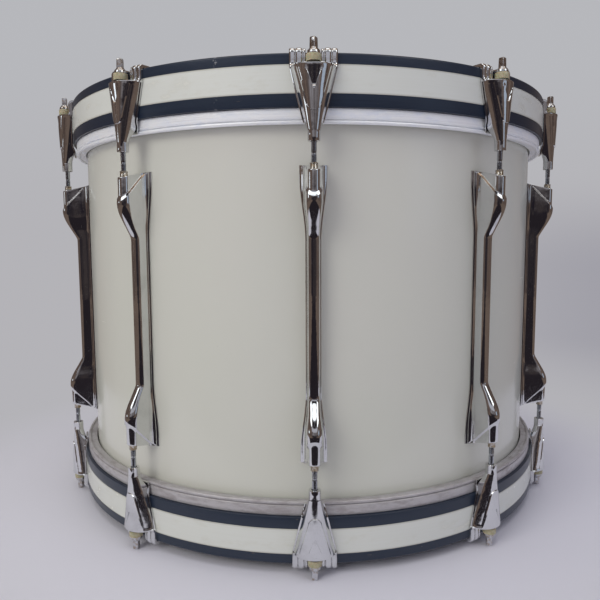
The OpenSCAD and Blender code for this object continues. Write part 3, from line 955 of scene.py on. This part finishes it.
def make_rod():
    """Screw, drawn on its own axis: thread, plain shank, domed collar and square key head."""
    solid = Solid()
    thread_top = THREAD_TOP_Z
    shank = THREAD_R - 0.08
    collar_z = WASHER_Z1
    key_z = collar_z + 5.9
    profile = [(0.01, thread_top - 0.4), (2.3, thread_top - 0.4), (2.45, thread_top)]
    profile += [(shank - 0.1, thread_top + 0.5), (shank, thread_top + 1.2), (shank, collar_z - 0.5)]
    profile += [(shank, collar_z), (6.1, collar_z), (6.35, collar_z + 0.25), (6.4, collar_z + 1.1)]
    profile += [(6.2, collar_z + 1.5)] + arc(2.6, collar_z + 1.3, 3.7, 15, 62, 6)
    profile += [(4.1, key_z - 0.5), (3.6, key_z), (0.01, key_z)]
    solid.grid(turned(profile, 48), ring=True)
    rod_thread(solid, ROD_Z0, thread_top)
    rod_key(solid, key_z - 0.4)
    return solid.mesh("rod_screw", ROD_STEEL, 36.0)


def rod_thread(solid, low, high):
    """Single-start thread swept along its helix, over a plain core with a pointed end."""
    core, crest = THREAD_R - 0.46, THREAD_R
    outline = [(0.06, 0.0), (0.42, 1.0), (0.58, 1.0), (0.94, 0.0), (0.5, -1.0)]
    sunk = core - 0.3
    per_turn = 20
    run_out = 1.5
    turns = (high - low - 2.0) / THREAD_PITCH
    rows = []
    for i in range(int(turns * per_turn) + 1):
        turn = i / per_turn
        angle = turn * math.tau
        fade = held(min(turn, turns - turn) / run_out)
        row = []
        for across, rise in outline:
            r = mix(core, crest, fade * rise) if rise >= 0 else sunk
            z = low + 1.0 + (turn + across) * THREAD_PITCH
            row.append((r * math.cos(angle), r * math.sin(angle), z))
        rows.append(row)
    solid.tube(rows)
    profile = [(0.01, low), (core - 0.5, low), (core, low + 0.8), (core, high), (0.01, high)]
    solid.grid(turned(profile, 40), ring=True)


def rod_key(solid, low):
    """Square head with softened corners, a slight taper and a worn top edge."""
    half_side = 2.85
    corner = 0.5

    def square(half, z):
        away = half - corner
        points = []
        for quarter, cx, cy in ((0, away, away), (1, -away, away), (2, -away, -away), (3, away, -away)):
            points += arc(cx, cy, corner, 90 * quarter, 90 * (quarter + 1), 4)
        return [(x, y, z) for x, y in points]

    rows = [square(half_side + 0.05, z) for z in (low, low + 2.0)]
    for drop, less in ((1.3, 0.08), (0.55, 0.22), (0.12, 0.6), (0.0, 1.0)):
        rows.append(square(half_side - less, ROD_Z1 - drop))
    solid.tube(rows)


def make_nut():
    """Threaded sleeve that stands a few millimetres out of the lug's end, with a lipped rim."""
    bore, outer = THREAD_R + 0.07, NUT_R
    low, high = NUT_Z0, NUT_Z1
    profile = [(bore, low), (outer, low), (outer, high - 2.6), (outer - 0.25, high - 2.2)]
    profile += [(outer - 0.25, high - 1.5), (outer, high - 1.2)]
    profile += arc(outer - 0.35, high - 0.35, 0.35, 0, 90, 4) + [(bore + 0.3, high), (bore, high - 0.3)]
    return ring_mesh("swivel_nut", profile, BRASS, count=48)


def make_washer():
    """Thick nylon washer with eased edges and a narrower foot."""
    inner, outer, foot = 3.0, 7.2, 5.6
    low, high = WASHER_Z0 + 0.02, WASHER_Z1
    profile = [(inner, low), (foot, low), (foot, low + WASHER_FOOT), (outer - 0.6, low + 1.8)]
    profile += arc(outer - 0.6, low + 2.4, 0.6, -90, 0, 4) + arc(outer - 0.7, high - 0.7, 0.7, 0, 90, 4)
    profile += [(inner, high)]
    return ring_mesh("rod_washer", profile, NYLON, count=64)


# -------------------- assembly


def finish_cad_nodes():
    """Hidden inner pieces keep their CAD shapes and get their materials."""
    upper_with_oxide = dict.fromkeys(("shell", "top_reinforcing_ring", "bottom_reinforcing_ring"), PLY)
    upper_with_oxide.update(dict.fromkeys(("lug_screws", "lug_screw_washers"), ZINC))
    for name, material in upper_with_oxide.items():
        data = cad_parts[name].data
        data.materials.clear()
        data.materials.append(material)


def key_turn(k, end):
    """Degrees by which a rod's square head is turned; each stopped somewhere else."""
    return (37.0 * k + (20.0 if end == "top" else 55.0)) % 90.0


def build_drum():
    shell = "shell_assembly"
    hoops = "{end}_hoop_assembly"
    finish_cad_nodes()
    put("shell_covering", cut_vent(make_covering()), shell, "shell_wrap")
    both_ends("head_film", make_head(), shell, "{end}_head")
    both_ends("flesh_hoop_ring", make_flesh_hoop(), shell, "{end}_flesh_hoop")
    both_ends("hoop_ring", make_hoop(), hoops, "{end}_hoop")
    both_ends("hoop_inlay_strip", make_inlay(), hoops, "{end}_hoop_inlay")
    place = TO_VENT @ Matrix.Translation((SHELL_IN * MM, 0, 0)) @ Matrix.Rotation(math.pi / 2, 4, "Y")
    put("vent_eyelet", make_vent(), shell, "vent_grommet", place)
    lug, claw, rod, nut, washer = make_lug(), make_claw(), make_rod(), make_nut(), make_washer()
    to_rod = Matrix.Translation((ROD_X * MM, 0, 0))
    for k in range(1, LUGS + 1):
        put(f"lug_{k:02d}_casting", lug, shell, f"lug_{k:02d}", at_lug(k))
        for end in ("top", "bottom"):
            hoop = f"{end}_hoop_assembly"
            name = f"{end}_rod_{k:02d}"
            place = at_lug(k, end == "bottom")
            axis = place @ to_rod
            aim = Matrix.Rotation(math.radians(key_turn(k, end)), 4, "Z")
            put(f"{end}_swivel_nut_{k:02d}", nut, shell, "swivel_nuts", axis)
            put(f"{end}_claw_{k:02d}", claw, hoop, f"{end}_claws", place)
            put(f"{end}_rod_washer_{k:02d}", washer, hoop, f"{end}_rod_washers", axis)
            put(f"{name}_screw", rod, f"{name}_body", name, axis @ aim)


# -------------------- stage, light and camera

BACKDROP = (0.470, 0.475, 0.500)
BACKDROP_LOW = (0.455, 0.450, 0.475)
# The third colour is a painted shadow: the drum's shadow on the backdrop, low on its right side.
BACKDROP_PAINTED_SHADOW = (0.350, 0.345, 0.385)

# Places in metres. The chrome sees the floor as a pale sheet that ends at SHEET_HALF to either
# side and at SHEET_FRONT; the camera stands at VIEWER_Y.
FLOOR_HALF = 3.0
SHEET_HALF = 0.75
SHEET_FRONT = -0.49
VIEWER_Y = -0.88

# Windows and pale things in the room: colour, degrees from the front towards +X, degrees up, and
# degrees over which the edge fades.
ROOM_LIGHTS = (
    ((1.3, 1.38, 1.46), (-84.0, -74.0), (2.0, 6.0), 1.0),
    ((0.40, 0.46, 0.56), (48.0, 64.0), (2.0, 12.0), 2.0),
    ((0.45, 0.45, 0.50), (-36.0, 36.0), (17.0, 27.0), 2.0),
    ((1.9, 1.95, 2.0), (-66.0, -38.0), (28.0, 56.0), 2.0),
    ((1.9, 1.95, 2.0), (38.0, 66.0), (28.0, 56.0), 2.0),
    ((1.5, 1.55, 1.6), (-38.0, 38.0), (42.0, 47.0), 1.5),
)


def make_world():
    """Each kind of ray sees its own room: the camera a pale backdrop, matt surfaces a soft pale
    light, and shiny ones a dark room with windows, so that the chrome has something to show."""
    world = bpy.data.worlds.new("studio")
    bpy.context.scene.world = world
    world.use_nodes = True
    g = Graph(world.node_tree)
    g.tree.nodes.clear()
    x, y, z = g.split(g.node("TexCoord").outputs["Generated"])
    side = g.math("DEGREES", g.math("ARCTAN2", x, g.times(y, -1.0)))
    up = g.math("DEGREES", g.math("ARCSINE", z))
    away = g.math("ABSOLUTE", side)
    things = g.noise(g.join(g.times(side, 0.09), g.times(up, 0.05), 0.0), 1.0, 4.0, 0.6)
    clutter = g.ramp(things, 0.35, 0.7)
    dark = g.blend(clutter, (0.012, 0.010, 0.016), (0.05, 0.040, 0.040))
    shelf = g.blend(clutter, (0.10, 0.085, 0.085), (0.30, 0.28, 0.30))
    brown = g.blend(clutter, (0.065, 0.046, 0.040), (0.20, 0.145, 0.12))
    room = g.blend(g.within(up, 7.0, 26.0, 4.0), dark, shelf)
    room = g.blend(g.ramp(away, 24.0, 44.0), room, brown)  # side walls
    room = g.blend(g.ramp(away, 126.0, 150.0), room, (0.24, 0.225, 0.225))  # wall behind the drum
    room = g.blend(g.ramp(up, 54.0, 64.0), room, (0.60, 0.43, 0.30))  # ceiling
    room = g.blend(g.ramp(up, 70.0, 75.0), room, (1.5, 1.55, 1.6))  # lamp overhead
    for colour, sides, heights, soft in ROOM_LIGHTS:
        share = g.times(g.within(side, *sides, soft), g.within(up, *heights, soft))
        room = g.blend(share, room, colour)
    seen = g.blend(g.ramp(up, 0.0, 16.0), BACKDROP_LOW, BACKDROP)
    # Painted shadow of the drum on the backdrop, low on its right side.
    painted_shadow = g.times(g.ramp(x, 0.15, 0.5), g.within(up, -9.0, -3.0, 9.0))
    seen = g.blend(painted_shadow, seen, BACKDROP_PAINTED_SHADOW)
    soft = g.blend(g.ramp(up, -10.0, 70.0), (0.46, 0.45, 0.46), (0.60, 0.60, 0.60))
    soft = g.blend(g.ramp(x, -0.3, 0.7), soft, (0.44, 0.44, 0.51))
    rays = g.node("LightPath").outputs
    colour = g.blend(rays["Is Glossy Ray"], soft, room)
    colour = g.blend(rays["Is Camera Ray"], colour, seen)
    shader = g.node("Background", {"Color": colour, "Strength": 1.0})
    g.tree.links.new(shader.outputs[0], g.node("OutputWorld").inputs["Surface"])


def make_floor():
    """Pale sheet under the drum that fades into the backdrop away from it. Shiny surfaces also see
    the sheet's brown surroundings and the dark stand in front of it."""
    s = Surface("pale_floor")
    x, y, _ = s.split(s.coords)
    spread = s.length(x, y)
    cloud = s.noise(s.coords, 3.0, 3.0)
    sheet = s.blend(cloud, (0.74, 0.72, 0.78), (0.71, 0.70, 0.76))
    matt = s.node("BsdfDiffuse", {"Color": sheet, "Normal": s.bump(s.noise(s.coords, 500.0, 2.0), 0.0001)})
    rays = s.node("LightPath").outputs
    beyond = s.ramp(s.math("ABSOLUTE", x), SHEET_HALF, SHEET_HALF + 0.05)
    front = s.ramp(y, SHEET_FRONT - 0.03, SHEET_FRONT, 1.0, 0.0)
    dark = s.blend(beyond, (0.020, 0.016, 0.020), (0.15, 0.11, 0.09))
    mirrored = s.times(s.math("MAXIMUM", beyond, front), rays["Is Glossy Ray"])
    stand = s.node("Emission", {"Color": dark})
    around = s.node("MixShader", {0: mirrored, 1: matt.outputs[0], 2: stand.outputs[0]})
    # Where the sheet fades into the backdrop for the camera, its right side darkens: the drum's painted
    # shadow.
    off_viewer = s.math("SUBTRACT", y, VIEWER_Y)
    bearing = s.math("DIVIDE", x, s.length(x, off_viewer))
    painted_shadow = s.times(s.ramp(bearing, 0.15, 0.5), s.ramp(spread, 0.4, 1.5))
    backdrop_with_painted_shadow = s.node("Emission", {"Color": s.blend(painted_shadow, BACKDROP_LOW, BACKDROP_PAINTED_SHADOW)})
    fade = s.times(s.ramp(spread, 0.36, 0.64), rays["Is Camera Ray"])
    both = s.node("MixShader", {0: fade, 1: around.outputs[0], 2: backdrop_with_painted_shadow.outputs[0]})
    s.tree.links.new(both.outputs[0], s.node("OutputMaterial").inputs["Surface"])
    solid = Solid()
    places = steps(-FLOOR_HALF / MM, FLOOR_HALF / MM, 12)
    solid.grid([[(px, py, FLOOR_Z) for px in places] for py in places], loop=False)
    floor = bpy.data.objects.new("floor", solid.mesh("floor", s.material))
    bpy.context.scene.collection.objects.link(floor)


def area_light(name, place, target, size, power, colour):
    data = bpy.data.lights.new(name, "AREA")
    data.shape = "DISK"
    data.size = size
    data.energy = power
    data.color = colour
    lamp = bpy.data.objects.new(name, data)
    lamp.location = place
    lamp.rotation_mode = "QUATERNION"
    lamp.rotation_quaternion = (Vector(target) - Vector(place)).to_track_quat("-Z", "Y")
    lamp.visible_glossy = False
    lamp.visible_camera = False
    bpy.context.scene.collection.objects.link(lamp)


def make_camera():
    """Phone camera a little above the drum's middle, tilted down at it."""
    distance, height = 0.8836, 0.0756
    yaw, pitch, roll, off_axis = -0.0125, 0.1003, -0.0049, 0.0199
    forward = Vector((math.sin(yaw) * math.cos(pitch), math.cos(yaw) * math.cos(pitch), -math.sin(pitch)))
    right = Vector((math.cos(yaw), -math.sin(yaw), 0.0))
    up = right.cross(forward)
    turned_right = right * math.cos(roll) + up * math.sin(roll)
    turned_up = up * math.cos(roll) - right * math.sin(roll)
    basis = Matrix((turned_right, turned_up, -forward)).transposed().to_4x4()
    data = bpy.data.cameras.new("camera")
    data.sensor_width = 36.0
    data.lens = 35.46
    data.clip_start = 0.01
    camera = bpy.data.objects.new("camera", data)
    place = Matrix.Translation((0.0, -distance, height)) @ basis
    camera.matrix_world = Matrix.Rotation(-off_axis, 4, "Z") @ place
    bpy.context.scene.collection.objects.link(camera)
    bpy.context.scene.camera = camera


def make_stage():
    make_world()
    make_floor()
    area_light("key", (-1.7, -2.1, 1.3), (0, 0, 0), 1.6, 26.0, (1.0, 0.99, 0.95))
    area_light("side", (1.9, -1.6, 0.9), (0, 0, 0), 1.6, 3.6, (0.66, 0.72, 1.0))
    area_light("top", (0.1, -0.8, 2.4), (0, 0, -0.1), 1.8, 9.0, (0.97, 0.98, 1.0))
    make_camera()
    view = bpy.context.scene.view_settings
    view.view_transform = "Standard"
    view.look = "None"


build_drum()
make_stage()
